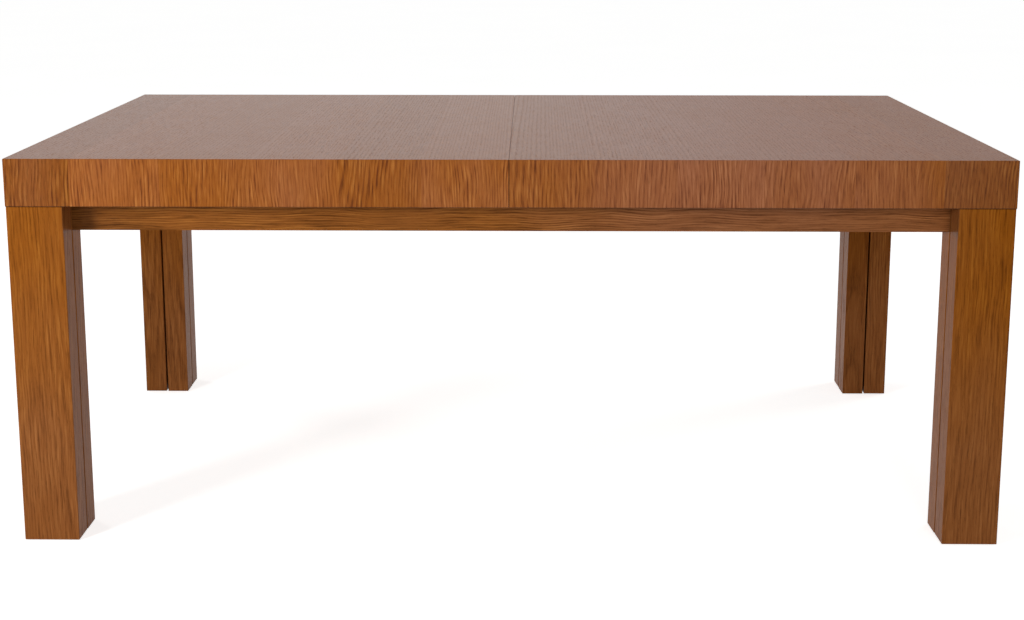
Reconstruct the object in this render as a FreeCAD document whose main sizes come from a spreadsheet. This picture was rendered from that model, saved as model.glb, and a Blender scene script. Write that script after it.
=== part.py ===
"""Extension Parsons dining table: two sliding top halves on a fixed inner frame.

Each half carries a top panel, mitred skirts, two L-shaped outer legs and a pair of slide runners.
The frame stands on four inner posts, which the outer legs wrap when the table is closed.

Millimetres. The origin is on the floor under the middle of the closed table.
X runs along the table, the front is at -Y and Z is up.
"""

import FreeCAD, Part
import os
import re
import Sketcher

Vector = FreeCAD.Vector
Rotation = FreeCAD.Rotation

UP = Vector(0, 0, 1)
UPRIGHT = Rotation()
TOWARDS_FRONT = Rotation(Vector(1, 0, 0), 90)
TOWARDS_REAR = Rotation(Vector(1, 0, 0), -90)
TOWARDS_LEFT = Rotation(Vector(0, 1, 0), -90)

# Two coordinates nearer than this are the same.
TOLERANCE = 0.01

# ---------------------------------------------------------------- driving dimensions

SIZES = {
    # closed table
    "table_length": 1829,
    "table_width": 1016,
    "table_height": 730,
    "seam_gap": 0.6,
    "slide_travel": 457,
    # top and skirts
    "panel_thickness": 22,
    "skirt_thickness": 22,
    "skirt_height": 88,
    "arris_radius": 1.2,
    # legs: the L-shaped outer leg, a gap, and the inner post
    "leg_size": 103,
    "leg_inset": 1,
    "leg_arm": 50,
    "leg_post_gap": 4,
    # frame
    "rail_thickness": 22,
    "rail_drop": 54,
    "rail_headroom": 20,
    "tenon_length": 25,
    "tenon_thickness": 10,
    "tenon_shoulder": 8,
    "bearer_width": 60,
    "housing_depth": 8,
    "brace_reach": 80,
    "brace_lift": 4,
    "brace_clearance": 6,
    # slides
    "runner_height": 64,
    "runner_thickness": 30,
    "runner_clearance": 4,
    "runner_side_gap": 4,
    "runner_end_gap": 3,
    "runner_wall": 4,
    "tongue_depth": 11,
    "tongue_height": 13.4,
    "slide_clearance": 0.3,
    "stop_radius": 5,
    "stop_depth": 16,
    "stop_drop": 14,
    "stop_gap": 0.5,
    # battens and blocks
    "batten_width": 60,
    "batten_clearance": 2,
    "batten_screw_margin": 30,
    "block_length": 70,
    "block_clearance": 6,
    # alignment pins
    "pin_radius": 4,
    "pin_depth": 22,
    "pin_reach": 14,
    "pin_clearance": 0.3,
    "pin_pitch": 330,
    # wood screws
    "screw_radius": 2.2,
    "screw_head_radius": 4.5,
    "screw_head_height": 3,
    "screw_bite": 12,
    "tip_clearance": 1,
    "hole_clearance": 0.1,
    "counterbore_radius": 5.5,
    "counterbore_depth": 34,
    "screw_margin": 50,
    # hanger bolts in the corner braces
    "bolt_radius": 4,
    "bolt_bite": 28,
    "bolt_tail": 14,
    "nut_width": 13,
    "nut_height": 6.5,
    "washer_radius": 9,
    "washer_thickness": 1.6,
    # glides
    "glide_height": 2,
    "glide_radius": 12,
    "glide_stem_radius": 2.5,
    "glide_stem_length": 16,
    # table locks
    "lock_offset": 230,
    "plate_length": 48,
    "plate_width": 40,
    "plate_thickness": 2.5,
    "plate_screw_inset": 7,
    "plate_screw_radius": 1.75,
    "plate_screw_head_radius": 3.3,
    "plate_screw_head_height": 1.5,
    "lever_thickness": 3,
    "lever_width": 24,
    "lever_tail": 25,
    "lever_tab_drop": 12,
    "pivot_radius": 4,
    "pivot_clearance": 0.08,
    "stud_radius": 3,
    "stud_head_radius": 6,
    "stud_head_thickness": 2,
    "lock_clearance": 0.3,
}

# ---------------------------------------------------------------- sizes and places worked out from them

DERIVED = {
    "half_length": "table_length / 2",
    "half_width": "table_width / 2",
    "half_seam": "seam_gap / 2",
    # heights
    "panel_bottom": "table_height - panel_thickness",
    "skirt_bottom": "table_height - skirt_height",
    "rail_bottom": "skirt_bottom - rail_drop",
    "rail_top": "panel_bottom - rail_headroom",
    "rail_height": "rail_top - rail_bottom",
    "runner_bottom": "panel_bottom - runner_height",
    "bearer_top": "runner_bottom - runner_clearance",
    "bearer_height": "bearer_top - rail_bottom",
    "stop_bottom": "runner_bottom - stop_drop",
    "brace_bottom": "rail_bottom + brace_lift",
    "brace_height": "stop_bottom - brace_clearance - brace_bottom",
    "batten_thickness": "rail_headroom - batten_clearance",
    "batten_bottom": "panel_bottom - batten_thickness",
    # legs and posts, in plan
    "leg_corner_x": "half_length - leg_inset",
    "leg_corner_y": "half_width - leg_inset",
    "leg_rebate": "skirt_thickness - leg_inset",
    "post_setback": "leg_arm + leg_post_gap",
    "post_size": "leg_size - post_setback",
    "post_corner_x": "leg_corner_x - post_setback",
    "post_corner_y": "leg_corner_y - post_setback",
    "post_height": "rail_top - glide_height",
    "leg_height": "skirt_bottom - glide_height",
    "leg_upper_height": "panel_bottom - skirt_bottom",
    # frame
    "rail_length": "2 * (leg_corner_x - leg_size)",
    "end_rail_length": "2 * (leg_corner_y - leg_size)",
    "tenon_offset": "(rail_thickness - tenon_thickness) / 2",
    "bearer_length": "2 * (post_corner_y - rail_thickness + housing_depth)",
    "brace_middle": "(post_size + brace_reach + rail_thickness) / 2",
    "bolt_grip": "sqrt(2) * (brace_middle - post_size)",
    "bolt_height": "brace_bottom + brace_height / 2",
    # slides
    "guide_thickness": "post_size - rail_thickness + runner_side_gap + tongue_depth",
    "guide_web": "guide_thickness - tongue_depth",
    "guide_height": "rail_top - bearer_top",
    "guide_corner_y": "post_corner_y - rail_thickness",
    "groove_height": "tongue_height + 2 * slide_clearance",
    "groove_bottom": "(guide_height - groove_height) / 2",
    "runner_y": "guide_corner_y - guide_thickness - slide_clearance",
    "runner_inner_x": "half_seam + batten_width + runner_end_gap",
    "runner_outer_x": "leg_corner_x - leg_arm - runner_end_gap",
    "runner_length": "runner_outer_x - runner_inner_x",
    "tongue_bottom": "(bearer_top + rail_top - tongue_height) / 2 - runner_bottom",
    "stop_x": "post_corner_x - rail_thickness - slide_travel - stop_gap - stop_radius",
    "runner_screw_y": "counterbore_radius + runner_wall",
    "stop_y": "runner_thickness - stop_radius - runner_wall",
    # battens
    "batten_length": "2 * (half_width - skirt_thickness)",
    # locks: the pivot and the stud lie at the middle of the two plates
    "plate_inner_x": "half_seam + (batten_width - plate_length) / 2",
    "pivot_x": "plate_inner_x + plate_length / 2",
    "stud_distance": "2 * pivot_x",
    "lever_half": "lever_width / 2",
    "plate_bottom": "batten_bottom - plate_thickness",
    "lever_top": "plate_bottom - lock_clearance",
    "lever_bottom": "lever_top - lever_thickness",
    "head_top": "lever_bottom - lock_clearance",
    "head_bottom": "head_top - stud_head_thickness",
    "catch_swing": "lever_half * lever_half / (2 * stud_distance)",
    "catch_near": "stud_distance - stud_radius - lock_clearance - catch_swing",
    "catch_far": "stud_distance + stud_radius + lock_clearance",
}

doc = FreeCAD.newDocument("ParsonsTable")
sheet = doc.addObject("Spreadsheet::Sheet", "Sizes")
for row, (alias, value) in enumerate(SIZES.items(), start=1):
    sheet.set(f"A{row}", alias.replace("_", " "))
    sheet.set(f"B{row}", str(value))
    sheet.setAlias(f"B{row}", alias)
doc.recompute()


def formula(text):
    """Expression text with each derived name worked out and each size read from the sheet."""

    def swap(match):
        word = match.group(0)
        if word in DERIVED:
            return f"({formula(DERIVED[word])})"
        if word in SIZES:
            return f"Sizes.{word}"
        return word

    return re.sub(r"[a-z][a-z_0-9]*", swap, str(text))


def bind(item, path, text):
    """Ties one property of an object to a formula."""
    item.setExpression(path, formula(text))


def negative(text):
    return f"-({text})"


# ---------------------------------------------------------------- features

NODES = []


def node(item, label):
    """Marks an object as a sub-part and names it."""
    item.Label = label
    NODES.append(item)
    return item


def place(item, at, turn=0):
    """Puts an object at a point, turned about the vertical."""
    item.Placement = FreeCAD.Placement(Vector(), Rotation(UP, turn))
    for axis, text in zip("xyz", at):
        bind(item, f"Placement.Base.{axis}", text)


def new_body(label):
    return node(doc.addObject("PartDesign::Body", label), label)


def sketch_on(body, role, offset="0"):
    """A sketch on one of the body's own origin planes, moved along the plane's normal."""
    sketch = body.newObject("Sketcher::SketchObject", f"{body.Name}_sketch")
    plane = next(f for f in body.Origin.OriginFeatures if f.Role == role)
    sketch.AttachmentSupport = [(plane, "")]
    sketch.MapMode = "FlatFace"
    bind(sketch, "AttachmentOffset.Base.z", offset)
    return sketch


def outline(sketch, points):
    """A closed outline of straight lines, each corner held by two distances from the origin."""
    first = sketch.GeometryCount
    count = len(points)
    for i in range(count):
        start = Vector(i, i * i, 0)
        end = Vector(i + 1, (i + 1) ** 2, 0)
        sketch.addGeometry(Part.LineSegment(start, end))
    for i in range(count):
        following = first + (i + 1) % count
        sketch.addConstraint(Sketcher.Constraint("Coincident", first + i, 2, following, 1))
    for i, point in enumerate(points):
        for kind, text in zip(("DistanceX", "DistanceY"), point):
            index = sketch.addConstraint(Sketcher.Constraint(kind, -1, 1, first + i, 1, 1.0))
            bind(sketch, f"Constraints[{index}]", text)


def rectangle(sketch, low, high):
    outline(sketch, [low, (high[0], low[1]), high, (low[0], high[1])])


def circles(sketch, centres, radius):
    """Equal circles at given centres."""
    for i, centre in enumerate(centres):
        shape = Part.Circle(Vector(10 * i, 10 * i, 0), Vector(0, 0, 1), 1)
        circle = sketch.addGeometry(shape)
        for kind, text in zip(("DistanceX", "DistanceY"), centre):
            index = sketch.addConstraint(Sketcher.Constraint(kind, -1, 1, circle, 3, 1.0))
            bind(sketch, f"Constraints[{index}]", text)
        index = sketch.addConstraint(Sketcher.Constraint("Radius", circle, 1.0))
        bind(sketch, f"Constraints[{index}]", radius)


def pad(body, sketch, length, reverse=False):
    feature = body.newObject("PartDesign::Pad", f"{body.Name}_pad")
    feature.Profile = sketch
    feature.Reversed = reverse
    bind(feature, "Length", length)
    doc.recompute()
    return feature


def pocket(body, sketch, depth, reverse=False):
    before = body.Shape.Volume
    feature = body.newObject("PartDesign::Pocket", f"{body.Name}_pocket")
    feature.Profile = sketch
    feature.Reversed = reverse
    bind(feature, "Length", depth)
    doc.recompute()
    if body.Shape.Volume >= before:
        raise RuntimeError(f"the pocket in {body.Label} cuts nothing")
    return feature


def revolve(body, points):
    """A turned solid: a half profile in X and Z, turned about Z."""
    sketch = sketch_on(body, "XZ_Plane")
    outline(sketch, points)
    feature = body.newObject("PartDesign::Revolution", f"{body.Name}_turn")
    feature.Profile = sketch
    feature.ReferenceAxis = (sketch, ["V_Axis"])
    feature.Angle = 360
    doc.recompute()
    return feature


def round_edges(body, radius, wanted):
    """Rounds the edges of the body that a test picks out."""
    base = body.Tip
    names = [f"Edge{i}" for i, edge in enumerate(base.Shape.Edges, start=1) if wanted(edge)]
    feature = body.newObject("PartDesign::Fillet", f"{body.Name}_round")
    feature.Base = (base, names)
    bind(feature, "Radius", radius)
    doc.recompute()
    return feature


def is_vertical(edge):
    return edge.BoundBox.ZLength > TOLERANCE


def board(label, length, width, height, at, turn=0):
    """A rectangular board with one lower corner at its own origin."""
    body = new_body(label)
    sketch = sketch_on(body, "XY_Plane")
    rectangle(sketch, ("0", "0"), (length, width))
    pad(body, sketch, height)
    place(body, at, turn)
    return body


def drill(body, role, offset, centres, radius, depth, reverse=False):
    """Equal round holes into the body, from a plane inwards."""
    sketch = sketch_on(body, role, offset)
    circles(sketch, centres, radius)
    return pocket(body, sketch, depth, reverse)


def countersink(body, role, offset, centres, screw, depth, reverse=False):
    """Equal countersunk screw holes into the body, from a plane inwards."""
    radius, head_radius, head_height = screw
    drill(body, role, offset, centres, f"{radius} + hole_clearance", depth, reverse)
    mouth = f"{head_radius} + hole_clearance"
    sink = drill(body, role, offset, centres, mouth, head_height, reverse)
    bind(sink, "TaperAngle", f"-atan(({head_radius} - {radius}) / {head_height})")
    doc.recompute()


def copies(label, places, turn=0):
    """One node of separate equal solids: linked copies, each with its own point and rotation."""
    links = []
    for i, (original, point, rotation) in enumerate(places):
        link = doc.addObject("App::Link", f"{label}_{i}")
        link.LinkedObject = original
        link.Placement = FreeCAD.Placement(Vector(), rotation)
        for axis, text in zip("xyz", point):
            bind(link, f"Placement.Base.{axis}", text)
        links.append(link)
    group = doc.addObject("Part::Compound", label)
    group.Links = links
    group.Placement = FreeCAD.Placement(Vector(), Rotation(UP, turn))
    return node(group, label)


def evenly(start, end, count):
    """Formulas for points spread evenly from start to end, both included."""
    return [f"({start}) + (({end}) - ({start})) * {i} / {count - 1}" for i in range(count)]


# ---------------------------------------------------------------- fasteners and other turned pieces


def turned(name, profile):
    """An original for copies: a half profile in X and Z, turned about Z."""
    body = doc.addObject("PartDesign::Body", name)
    revolve(body, profile)
    return body


def countersunk_screw(name, length, screw):
    """A wood screw pointing up, its flat head at its own origin."""
    radius, head_radius, head_height = screw
    shoulder = f"{length} - 2 * {radius}"
    profile = [("0", "0"), (head_radius, "0"), (radius, head_height), (radius, shoulder)]
    return turned(name, profile + [("0", length)])


def pan_screw(name, length):
    """A wood screw pointing up, its head below the bearing face at its own origin."""
    head = [("0", "-screw_head_height"), ("screw_head_radius", "-screw_head_height")]
    shank = [("screw_head_radius", "0"), ("screw_radius", "0")]
    point = [("screw_radius", f"{length} - 2 * screw_radius"), ("0", length)]
    return turned(name, head + shank + point)


def dowel(name, radius, length):
    """A pin pointing up, with both ends bevelled."""
    bevel = f"{radius} / 4"
    narrow = f"{radius} - {bevel}"
    low = [("0", "0"), (narrow, "0"), (radius, bevel)]
    high = [(radius, f"{length} - {bevel}"), (narrow, length), ("0", length)]
    return turned(name, low + high)


def glide(name):
    """A nail-in glide pointing up: a low disc with a bevelled rim, and a stem."""
    rim = "glide_radius - glide_height / 2"
    disc = [("0", "0"), (rim, "0"), ("glide_radius", "glide_height / 2"), ("glide_radius", "glide_height")]
    top = "glide_height + glide_stem_length"
    stem = [("glide_stem_radius", "glide_height"), ("glide_stem_radius", top), ("0", top)]
    return turned(name, disc + stem)


def hanger_bolt(name):
    """A headless bolt whose origin lies where it leaves the brace, its tail pointing up."""
    inner = negative("bolt_grip + bolt_bite")
    side = [("bolt_radius", inner), ("bolt_radius", "bolt_tail")]
    return turned(name, [("0", inner), *side, ("0", "bolt_tail")])


def washer(name):
    bore = "bolt_radius + hole_clearance"
    low = [(bore, "0"), ("washer_radius", "0")]
    return turned(name, low + [("washer_radius", "washer_thickness"), (bore, "washer_thickness")])


def hexagon_nut(name):
    body = doc.addObject("PartDesign::Body", name)
    sketch = sketch_on(body, "XY_Plane", "washer_thickness")
    corner = "nut_width / sqrt(3)"
    beside = "nut_width / sqrt(12)"
    right = [(corner, "0"), (beside, "nut_width / 2")]
    left = [(negative(beside), "nut_width / 2"), (negative(corner), "0")]
    outline(sketch, right + left + [(negative(beside), "-nut_width / 2"), (beside, "-nut_width / 2")])
    circles(sketch, [("0", "0")], "bolt_radius + hole_clearance")
    pad(body, sketch, "nut_height")
    return body


SCREW = ("screw_radius", "screw_head_radius", "screw_head_height")
SMALL_SCREW = ("plate_screw_radius", "plate_screw_head_radius", "plate_screw_head_height")
PILOT = "screw_radius + hole_clearance"
PILOT_DEPTH = "screw_bite + tip_clearance"
RUNNER_GRIP = "runner_height - counterbore_depth"

runner_screw = pan_screw("runner_screw", f"{RUNNER_GRIP} + screw_bite")
batten_screw = countersunk_screw("batten_screw", "batten_thickness + screw_bite", SCREW)
leg_screw = countersunk_screw("leg_screw", "leg_arm - leg_rebate + screw_bite", SCREW)
guide_screw = countersunk_screw("guide_screw", "guide_web + screw_bite", SCREW)
plate_screw = countersunk_screw("plate_screw", "plate_thickness + screw_bite", SMALL_SCREW)
stop_peg = dowel("stop_peg", "stop_radius", "stop_depth + stop_drop")
alignment_pin = dowel("alignment_pin", "pin_radius", "pin_depth + seam_gap + pin_reach")
foot_glide = glide("foot_glide")
brace_bolt = hanger_bolt("brace_bolt")
brace_washer = washer("brace_washer")
brace_nut = hexagon_nut("brace_nut")

# ---------------------------------------------------------------- the fixed frame

# Corner names with the signs of their X and Y, and the turn that carries a front left piece there.
CORNERS = {
    "front_left": ("-", "-", 0),
    "front_right": ("", "-", 90),
    "rear_right": ("", "", 180),
    "rear_left": ("-", "", 270),
}


def bolt_hole(body, height):
    """A hole along the diagonal of a corner, for its hanger bolt."""
    start = "post_size - (bolt_bite + tip_clearance) / sqrt(2)"
    hole = body.newObject("PartDesign::SubtractiveCylinder", f"{body.Name}_bolt_hole")
    hole.Placement = FreeCAD.Placement(Vector(), Rotation(UP, Vector(1, 1, 0)))
    bind(hole, "Radius", "bolt_radius + hole_clearance")
    bind(hole, "Height", "bolt_grip + bolt_bite + 2 * tip_clearance")
    for axis, text in zip("xyz", (start, start, height)):
        bind(hole, f"Placement.Base.{axis}", text)
    doc.recompute()


def inner_post(label, at, turn):
    """A square post, mortised on its two inner faces for a long rail and an end rail."""
    body = board(label, "post_size", "post_size", "post_height", at, turn)
    round_edges(body, "arris_radius", is_vertical)
    low = "rail_bottom + tenon_shoulder - glide_height"
    tops = ["rail_top - tenon_shoulder - glide_height", "bearer_top - tenon_shoulder - glide_height"]
    if turn in (90, 270):
        tops.reverse()
    faces = [("YZ_Plane", "post_size", False), ("XZ_Plane", "-post_size", True)]
    for (role, plane, reverse), top in zip(faces, tops):
        mortise = sketch_on(body, role, plane)
        rectangle(mortise, ("tenon_offset", low), ("tenon_offset + tenon_thickness", top))
        pocket(body, mortise, "tenon_length", reverse)
    stem = "glide_stem_radius + hole_clearance"
    drill(body, "XY_Plane", "0", [("post_size / 2", "post_size / 2")], stem, "glide_stem_length", True)
    bolt_hole(body, "bolt_height - glide_height")


def tenoned_rail(label, length, height, at, turn):
    """A rail with a stub tenon at each end, its lower outer corner at its own origin."""
    body = board(label, length, "rail_thickness", height, at, turn)
    tenons = sketch_on(body, "XY_Plane", "tenon_shoulder")
    high = (f"{length} + tenon_length", "tenon_offset + tenon_thickness")
    rectangle(tenons, ("-tenon_length", "tenon_offset"), high)
    pad(body, tenons, f"{height} - 2 * tenon_shoulder")
    return body


def guide_screw_points():
    return [(x, "guide_height / 2") for x in evenly("screw_margin", "rail_length - screw_margin", 6)]


def long_rail(label, at, turn):
    """The front or rear rail: tenons, a housing for the bearer and pilot holes for the guide."""
    body = tenoned_rail(label, "rail_length", "rail_height", at, turn)
    housing = sketch_on(body, "XZ_Plane", "-rail_thickness")
    left = "rail_length / 2 - bearer_width / 2"
    right = "rail_length / 2 + bearer_width / 2"
    rectangle(housing, (left, "0"), (right, "bearer_height"))
    pocket(body, housing, "housing_depth", reverse=True)
    centres = [(x, f"bearer_height + {z}") for x, z in guide_screw_points()]
    drill(body, "XZ_Plane", "-rail_thickness", centres, PILOT, PILOT_DEPTH, reverse=True)


def slide_guide(label, at, turn):
    """A hardwood bar grooved along its inner face, screwed to the rail through the groove."""
    body = new_body(label)
    section = sketch_on(body, "YZ_Plane")
    face = "guide_thickness"
    top = "groove_bottom + groove_height"
    groove = [(face, "groove_bottom"), ("guide_web", "groove_bottom"), ("guide_web", top), (face, top)]
    outline(section, [("0", "0"), (face, "0")] + groove + [(face, "guide_height"), ("0", "guide_height")])
    pad(body, section, "rail_length")
    countersink(body, "XZ_Plane", "-guide_web", guide_screw_points(), SCREW, "guide_web", True)
    place(body, at, turn)


def corner_brace(label, at, turn):
    """A block across a frame corner, notched round the post and bored for its hanger bolt."""
    body = new_body(label)
    plan = sketch_on(body, "XY_Plane")
    far = "post_size + brace_reach"
    along_rails = [("post_size", "rail_thickness"), (far, "rail_thickness"), ("rail_thickness", far)]
    outline(plan, along_rails + [("rail_thickness", "post_size"), ("post_size", "post_size")])
    pad(body, plan, "brace_height")
    bolt_hole(body, "brace_height / 2")
    place(body, at, turn)


def build_frame():
    bolt_places = []
    nut_places = []
    glide_places = []
    for name, (x_sign, y_sign, turn) in CORNERS.items():
        corner = (f"{x_sign}post_corner_x", f"{y_sign}post_corner_y")
        inner_post(f"inner_post_{name}", (*corner, "glide_height"), turn)
        corner_brace(f"corner_brace_{name}", (*corner, "brace_bottom"), turn)
        outside = (f"{x_sign}(post_corner_x - brace_middle)", f"{y_sign}(post_corner_y - brace_middle)")
        inward = Rotation(UP, Vector(1 if x_sign else -1, 1 if y_sign else -1, 0))
        bolt_places.append((brace_bolt, (*outside, "bolt_height"), inward))
        nut_places.append((brace_washer, (*outside, "bolt_height"), inward))
        nut_places.append((brace_nut, (*outside, "bolt_height"), inward))
        middle = (f"{x_sign}(post_corner_x - post_size / 2)", f"{y_sign}(post_corner_y - post_size / 2)")
        glide_places.append((foot_glide, (*middle, "0"), UPRIGHT))
    copies("brace_bolts", bolt_places)
    copies("brace_nuts", nut_places)
    copies("post_glides", glide_places)

    start = "rail_length / 2"
    long_rail("frame_rail_front", (negative(start), "-post_corner_y", "rail_bottom"), 0)
    long_rail("frame_rail_rear", (start, "post_corner_y", "rail_bottom"), 180)
    slide_guide("slide_guide_front", (negative(start), "-guide_corner_y", "bearer_top"), 0)
    slide_guide("slide_guide_rear", (start, "guide_corner_y", "bearer_top"), 180)
    start = "end_rail_length / 2"
    section = ("end_rail_length", "bearer_height")
    tenoned_rail("frame_end_rail_left", *section, ("-post_corner_x", start, "rail_bottom"), 270)
    tenoned_rail("frame_end_rail_right", *section, ("post_corner_x", negative(start), "rail_bottom"), 90)
    corner = ("-bearer_width / 2", "-bearer_length / 2", "rail_bottom")
    board("centre_bearer", "bearer_width", "bearer_length", "bearer_height", corner)

    places = []
    for x, _ in guide_screw_points():
        point = (f"{x} - rail_length / 2", "guide_web - guide_corner_y", "bearer_top + guide_height / 2")
        places.append((guide_screw, point, TOWARDS_FRONT))
        places.append((guide_screw, (point[0], "guide_corner_y - guide_web", point[2]), TOWARDS_REAR))
    copies("guide_screws", places)


# ---------------------------------------------------------------- the two halves of the top

# Pieces of a half are laid out for the left half. The right half is the same, turned half round.


def half_case():
    """The solid envelope of a half, with its outer edges eased, that the panel and skirts share."""
    body = doc.addObject("PartDesign::Body", "half_case")
    plan = sketch_on(body, "XY_Plane", "skirt_bottom")
    rectangle(plan, ("-half_length", "-half_width"), ("-half_seam", "half_width"))
    pad(body, plan, "skirt_height")

    def is_outer(edge):
        return edge.BoundBox.XMin < -SIZES["seam_gap"]

    round_edges(body, "arris_radius", is_outer)
    return body


def mitred_slab(name, low, high, near, far, rotation):
    """A slab between two planes, whose two faces are different rectangles."""
    slab = doc.addObject("Part::Wedge", name)
    bind(slab, "Ymin", low)
    bind(slab, "Ymax", high)
    for prefix, (x_low, x_high, z_low, z_high) in (("", near), ("2", far)):
        bind(slab, f"X{prefix}min", x_low)
        bind(slab, f"X{prefix}max", x_high)
        bind(slab, f"Z{prefix}min", z_low)
        bind(slab, f"Z{prefix}max", z_high)
    slab.Placement = FreeCAD.Placement(Vector(), rotation)
    return slab


def round_holes(name, holes):
    """Cylinders to cut away, each with its own radius, depth, starting point and direction."""
    tools = []
    for i, (radius, depth, point, rotation) in enumerate(holes):
        cylinder = doc.addObject("Part::Cylinder", f"{name}_{i}")
        bind(cylinder, "Radius", radius)
        bind(cylinder, "Height", depth)
        cylinder.Placement = FreeCAD.Placement(Vector(), rotation)
        for axis, text in zip("xyz", point):
            bind(cylinder, f"Placement.Base.{axis}", text)
        tools.append(cylinder)
    fuse = doc.addObject("Part::MultiFuse", name)
    fuse.Shapes = tools
    return fuse


def case_board(label, case, slab, holes, turn):
    """The part of the case inside a mitred slab, with its holes."""
    blank = doc.addObject("Part::Common", f"{label}_blank")
    blank.Base = case
    blank.Tool = slab
    result = doc.addObject("Part::Cut", label)
    result.Base = blank
    result.Tool = round_holes(f"{label}_holes", holes)
    result.Placement = FreeCAD.Placement(Vector(), Rotation(UP, turn))
    node(result, label)


OUTER_X = ("-half_length", "-half_seam")
INNER_X = ("skirt_thickness - half_length", "-half_seam")
OUTER_Y = ("-half_width", "half_width")
INNER_Y = ("skirt_thickness - half_width", "half_width - skirt_thickness")
OUTER_Z = ("skirt_bottom", "table_height")
INNER_Z = ("skirt_bottom", "panel_bottom")

BATTEN_END = "half_width - skirt_thickness - batten_screw_margin"
BATTEN_SCREW_ROWS = ["0"]
for distance in ("lock_offset / 2", f"(lock_offset + {BATTEN_END}) / 2", BATTEN_END):
    BATTEN_SCREW_ROWS += [negative(distance), distance]
BATTEN_MIDDLE = "half_seam + batten_width / 2"
RUNNER_SCREW_PLACES = evenly("screw_margin", "runner_length - screw_margin", 5)
LEG_SCREW_ALONG = "(leg_arm + leg_size) / 2"
LEG_SCREW_HEIGHTS = ["leg_upper_height / 4", "leg_upper_height * 3 / 4"]
PIN_ROWS = ["-pin_pitch", "0", "pin_pitch"]
PLATE_SCREW_POINTS = []
for x_side in ("-", ""):
    for y_side in ("-", ""):
        x = f"{x_side}(plate_length / 2 - plate_screw_inset)"
        y = f"{y_side}(plate_width / 2 - plate_screw_inset)"
        PLATE_SCREW_POINTS.append((x, y))
FRONT_REAR = {"front": "-", "rear": ""}


def top_and_skirts(case, side, turn, name):
    holes = []
    for sign in ("-", ""):
        row = f"{sign}(runner_y - runner_screw_y)"
        for along in RUNNER_SCREW_PLACES:
            point = (f"{along} - runner_outer_x", row, "panel_bottom")
            holes.append((PILOT, PILOT_DEPTH, point, UPRIGHT))
    for row in BATTEN_SCREW_ROWS:
        holes.append((PILOT, PILOT_DEPTH, (negative(BATTEN_MIDDLE), row, "panel_bottom"), UPRIGHT))
    pin_fit = ("pin_radius + hole_clearance", "pin_depth")
    if side == "right":
        pin_fit = ("pin_radius + pin_clearance", "pin_reach + pin_clearance")
    for row in PIN_ROWS:
        point = ("-half_seam", row, "table_height - panel_thickness / 2")
        holes.append((*pin_fit, point, TOWARDS_LEFT))
    inner = (*INNER_X, *INNER_Y)
    outer = (*OUTER_X, *OUTER_Y)
    slab = mitred_slab(f"panel_slab_{side}", "panel_bottom", "table_height", inner, outer, TOWARDS_FRONT)
    case_board(f"top_panel_{side}", case, slab, holes, turn)

    outer = (*OUTER_X, *OUTER_Z)
    inner = (*INNER_X, *INNER_Z)
    holes = []
    for height in LEG_SCREW_HEIGHTS:
        point = (f"{LEG_SCREW_ALONG} - leg_corner_x", INNER_Y[0], f"skirt_bottom + {height}")
        holes.append((PILOT, PILOT_DEPTH, point, TOWARDS_FRONT))
    slab = mitred_slab(f"front_slab_{side}", "-half_width", INNER_Y[0], outer, inner, UPRIGHT)
    case_board(f"{name('skirt', 'front')}_{side}", case, slab, holes, turn)
    holes = [(*hole[:2], (hole[2][0], INNER_Y[1], hole[2][2]), TOWARDS_REAR) for hole in holes]
    slab = mitred_slab(f"rear_slab_{side}", INNER_Y[1], "half_width", inner, outer, UPRIGHT)
    case_board(f"{name('skirt', 'rear')}_{side}", case, slab, holes, turn)

    outer = (*OUTER_Y, *OUTER_Z)
    inner = (*INNER_Y, *INNER_Z)
    holes = []
    for sign in ("-", ""):
        row = f"{sign}(leg_corner_y - {LEG_SCREW_ALONG})"
        for height in LEG_SCREW_HEIGHTS:
            point = (INNER_X[0], row, f"skirt_bottom + {height}")
            holes.append((PILOT, PILOT_DEPTH, point, TOWARDS_LEFT))
    quarter = Rotation(UP, -90)
    slab = mitred_slab(f"end_slab_{side}", "-half_length", INNER_X[0], outer, inner, quarter)
    case_board(f"skirt_end_{side}", case, slab, holes, turn)


def outer_leg(label, at, turn):
    """An L-shaped leg: two arms up to a shoulder, and a rebated part behind the skirts above it."""
    body = new_body(label)

    def ell(height, start):
        sketch = sketch_on(body, "XY_Plane", height)
        inside = [("leg_size", "leg_arm"), ("leg_arm", "leg_arm"), ("leg_arm", "leg_size")]
        outline(sketch, [(start, start), ("leg_size", start)] + inside + [(start, "leg_size")])
        return sketch

    def is_outer_upright(edge):
        """Every upright but the one in the inner corner, on the diagonal and off the origin."""
        box = edge.BoundBox
        is_inner = abs(box.XMin - box.YMin) < TOLERANCE and box.XMin > TOLERANCE
        return is_vertical(edge) and not is_inner

    def is_lowest(edge):
        return edge.BoundBox.ZMax < TOLERANCE

    pad(body, ell("0", "0"), "leg_height")
    round_edges(body, "arris_radius", lambda edge: is_lowest(edge) or is_outer_upright(edge))
    pad(body, ell("leg_height", "leg_rebate"), "leg_upper_height")
    stem = "glide_stem_radius + hole_clearance"
    middle = ("leg_arm / 2", "leg_arm / 2")
    drill(body, "XY_Plane", "0", [middle], stem, "glide_stem_length", True)
    centres = [(LEG_SCREW_ALONG, f"leg_height + {height}") for height in LEG_SCREW_HEIGHTS]
    grip = "leg_arm - leg_rebate"
    countersink(body, "XZ_Plane", "-leg_arm", centres, SCREW, grip, True)
    countersink(body, "YZ_Plane", "leg_arm", centres, SCREW, grip)
    place(body, at, turn)


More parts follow.
